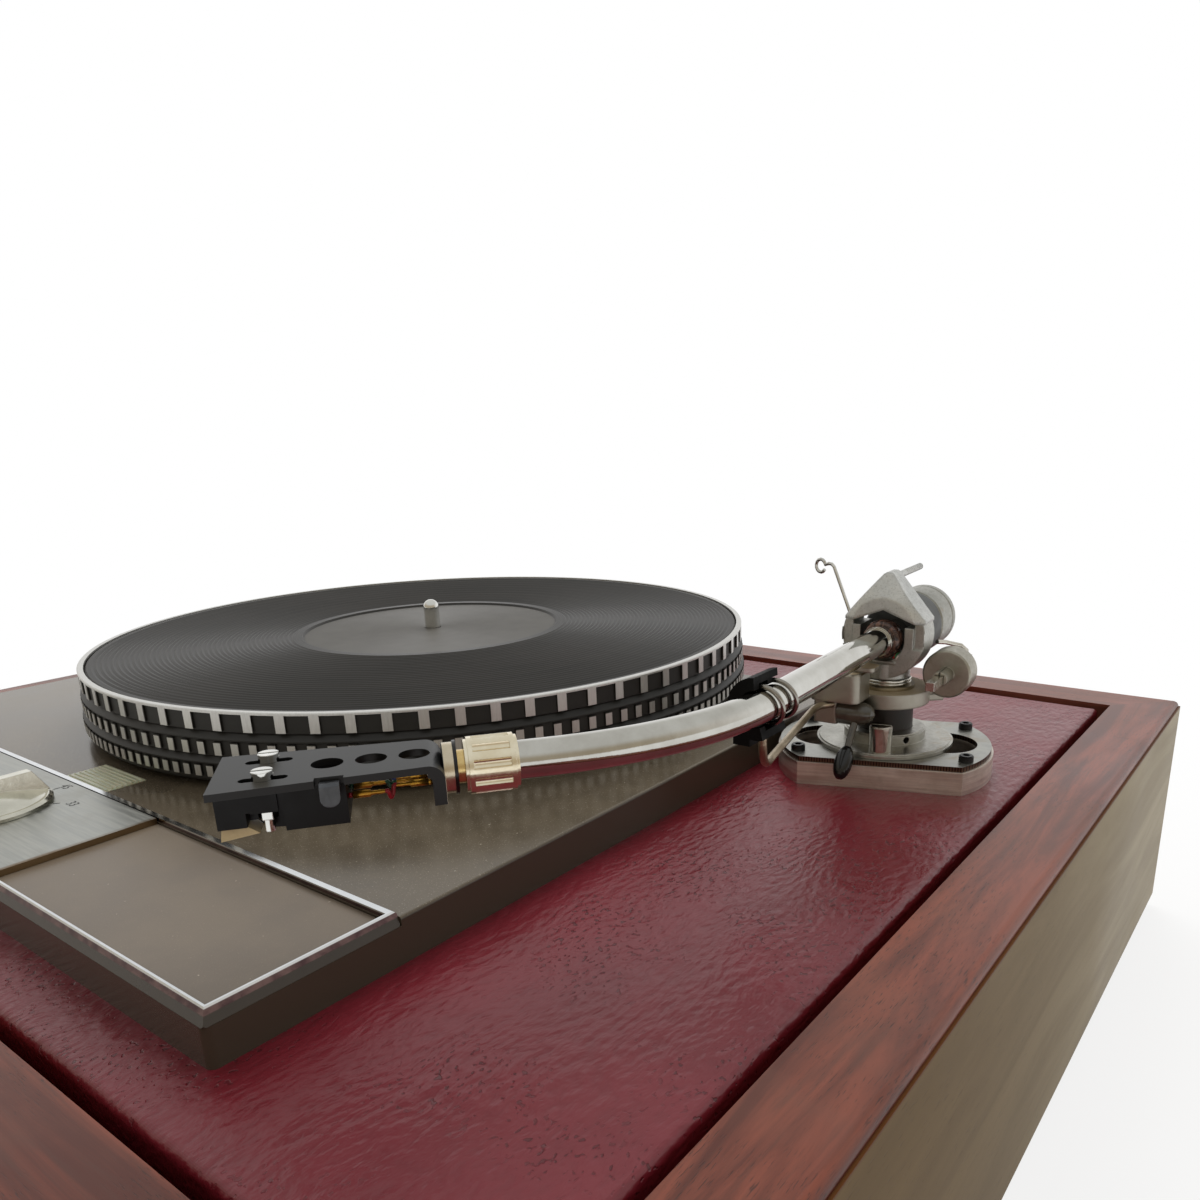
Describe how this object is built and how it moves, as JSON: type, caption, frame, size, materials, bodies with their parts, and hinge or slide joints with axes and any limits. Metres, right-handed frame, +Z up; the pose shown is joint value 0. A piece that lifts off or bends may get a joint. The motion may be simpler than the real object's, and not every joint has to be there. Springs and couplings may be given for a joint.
{
  "type": "record turntable",
  "caption": "Rim-drive record turntable with a strobe-marked platter and a curved pick-up arm on a leather-topped timber plinth; plays records at set speeds.",
  "frame": {"origin": "centre of the plinth at the bottom of the feet", "axes": "+X to the right, +Y to the back, +Z up; the control panel faces -Y"},
  "size_m": [0.54, 0.46, 0.1856],
  "materials": {
    "mahogany": "satin varnish",
    "pale_veneer": "worn satin",
    "plywood": "bare",
    "black_rubber": "matte",
    "burgundy_leather": "semi-gloss grain",
    "deck_paint": "fine texture",
    "bright_trim": "polished",
    "satin_aluminium": "satin brushed",
    "dark_paint": "satin",
    "ivory_plastic": "translucent ivory",
    "lamp_glass": "clear",
    "turned_aluminium": "turned",
    "mat_rubber": "matte",
    "bright_steel": "polished",
    "cast_metal": "rough",
    "brass": "turned",
    "black_plastic": "matte",
    "chrome": "polished",
    "brown_resin": "satin",
    "lead_plastic": "coloured sleeves",
    "grey_rubber": "satin"
  },
  "bodies": {
    "plinth": {"plinth_front": "mahogany", "plinth_back": "mahogany", "plinth_left": "mahogany", "plinth_right": "mahogany", "side_veneers": "pale_veneer", "base_board": "plywood", "corner_blocks": "plywood", "rubber_feet": "black_rubber", "top_board": "plywood", "leather_cover": "burgundy_leather", "deck_plate": "deck_paint", "panel_trim": "bright_trim", "control_plate": "satin_aluminium", "blank_plate": "dark_paint", "strobe_window": "ivory_plastic", "strobe_lamp": "lamp_glass", "bearing_housing": "cast_metal", "motor_body": "cast_metal", "motor_springs": "bright_steel", "brake_magnet": "dark_paint", "mains_switch": "black_plastic", "arm_spacer": "turned_aluminium", "bed_plate": "satin_aluminium", "bed_screws": "dark_paint"},
    "platter": {"platter": "turned_aluminium", "platter_mat": "mat_rubber", "spindle": "bright_steel"},
    "speed_knob": {"speed_knob": "satin_aluminium"},
    "power_knob": {"power_knob": "satin_aluminium"},
    "fine_knob": {"fine_knob": "satin_aluminium"},
    "motor_rotor": {"motor_rotor": "brass"},
    "idler_arm": {"idler_arm": "bright_steel"},
    "idler_wheel": {"idler_wheel": "black_rubber"},
    "arm_base": {"arm_base": "satin_aluminium", "clamp_screw": "bright_steel"},
    "pillar": {"pillar": "dark_paint", "bearing_race": "bright_steel", "lift_bracket": "satin_aluminium", "rest_rod": "bright_steel", "rest_cradle": "black_plastic", "rest_clip": "bright_steel", "thread_guide": "bright_steel"},
    "lift_lever": {"lift_lever": "satin_aluminium", "lever_grip": "black_plastic"},
    "lift_rail": {"lift_rail": "satin_aluminium"},
    "yoke": {"yoke": "satin_aluminium", "hood": "satin_aluminium"},
    "arm": {"arm_tube": "chrome", "tube_ferrule": "brown_resin", "headshell": "dark_paint", "finger_lift": "satin_aluminium", "shell_screws": "bright_steel", "cartridge": "black_plastic", "stylus_guard": "ivory_plastic", "lead_wires": "lead_plastic", "decoupler": "grey_rubber", "rider_rod": "bright_steel"},
    "locking_collar": {"locking_collar": "chrome"},
    "counterweight": {"counterweight": "turned_aluminium"},
    "rider_weight": {"rider_weight": "satin_aluminium"}
  },
  "joints": [
    {"name": "platter_spin", "type": "hinge", "parent": "plinth", "child": "platter", "pos_m": [-0.03, 0.036, 0.107], "axis": [0, 0, -1], "continuous": true},
    {"name": "power_turn", "type": "hinge", "parent": "plinth", "child": "power_knob", "pos_m": [-0.1468, -0.1595, 0.121], "axis": [0, 0, -1], "range_deg": [0, 45]},
    {"name": "speed_turn", "type": "hinge", "parent": "plinth", "child": "speed_knob", "pos_m": [-0.03, -0.1595, 0.121], "axis": [0, 0, -1], "range_deg": [-45, 45]},
    {"name": "fine_turn", "type": "hinge", "parent": "plinth", "child": "fine_knob", "pos_m": [-0.0884, -0.1595, 0.121], "axis": [0, 0, -1], "range_deg": [-120, 120]},
    {"name": "idler_engage", "type": "hinge", "parent": "plinth", "child": "idler_arm", "pos_m": [-0.07633, -0.00747, 0.107], "axis": [0, 0, 1], "range_deg": [0, 4.6]},
    {"name": "idler_spin", "type": "hinge", "parent": "idler_arm", "child": "idler_wheel", "pos_m": [-0.12471, 0.00514, 0.107], "axis": [0, 0, -1], "continuous": true},
    {"name": "motor_spin", "type": "hinge", "parent": "plinth", "child": "motor_rotor", "pos_m": [-0.0977, -0.02216, 0.107], "axis": [0, 0, -1], "continuous": true},
    {"name": "base_slide", "type": "slide", "parent": "plinth", "child": "arm_base", "axis": [0.9421, 0.3355, 0], "range_m": [-0.008, 0.008]},
    {"name": "pillar_height", "type": "slide", "parent": "arm_base", "child": "pillar", "axis": [0, 0, 1], "range_m": [0, 0.01]},
    {"name": "lift_turn", "type": "hinge", "parent": "pillar", "child": "lift_lever", "pos_m": [0.18451, 0.05381, 0.1338], "axis": [-0.9976, -0.0698, 0], "range_deg": [0, 60]},
    {"name": "lift_rise", "type": "slide", "parent": "pillar", "child": "lift_rail", "axis": [0, 0, 1], "range_m": [0, 0.0019]},
    {"name": "arm_swing", "type": "hinge", "parent": "pillar", "child": "yoke", "pos_m": [0.1865, 0.0755, 0.141], "axis": [0, 0, -1], "range_deg": [0, 52], "deforming": ["rest_cradle", "rest_clip"]},
    {"name": "arm_tilt", "type": "hinge", "parent": "yoke", "child": "arm", "pos_m": [0.1865, 0.0755, 0.15435], "axis": [-0.9976, -0.0698, 0], "range_deg": [0, 10], "deforming": ["rest_cradle", "rest_clip"]},
    {"name": "collar_turn", "type": "hinge", "parent": "arm", "child": "locking_collar", "pos_m": [0.1619, -0.10916, 0.1595], "axis": [-0.6211, -0.7837, 0], "range_deg": [0, 90]},
    {"name": "counterweight_slide", "type": "slide", "parent": "arm", "child": "counterweight", "axis": [-0.0698, 0.9976, 0], "range_m": [0, 0.005]},
    {"name": "rider_slide", "type": "slide", "parent": "arm", "child": "rider_weight", "axis": [0.0698, -0.9976, 0], "range_m": [-0.008, 0.004]}
  ],
  "couplings": [
    {"joint": "idler_spin", "follows": "platter_spin", "ratio": 4.1875},
    {"joint": "motor_spin", "follows": "platter_spin", "ratio": -32.889},
    {"joint": "idler_engage", "follows": "power_turn", "ratio": 0.10222},
    {"joint": "lift_turn", "follows": "lift_rise", "rad_per_m": 551.16}
  ]
}
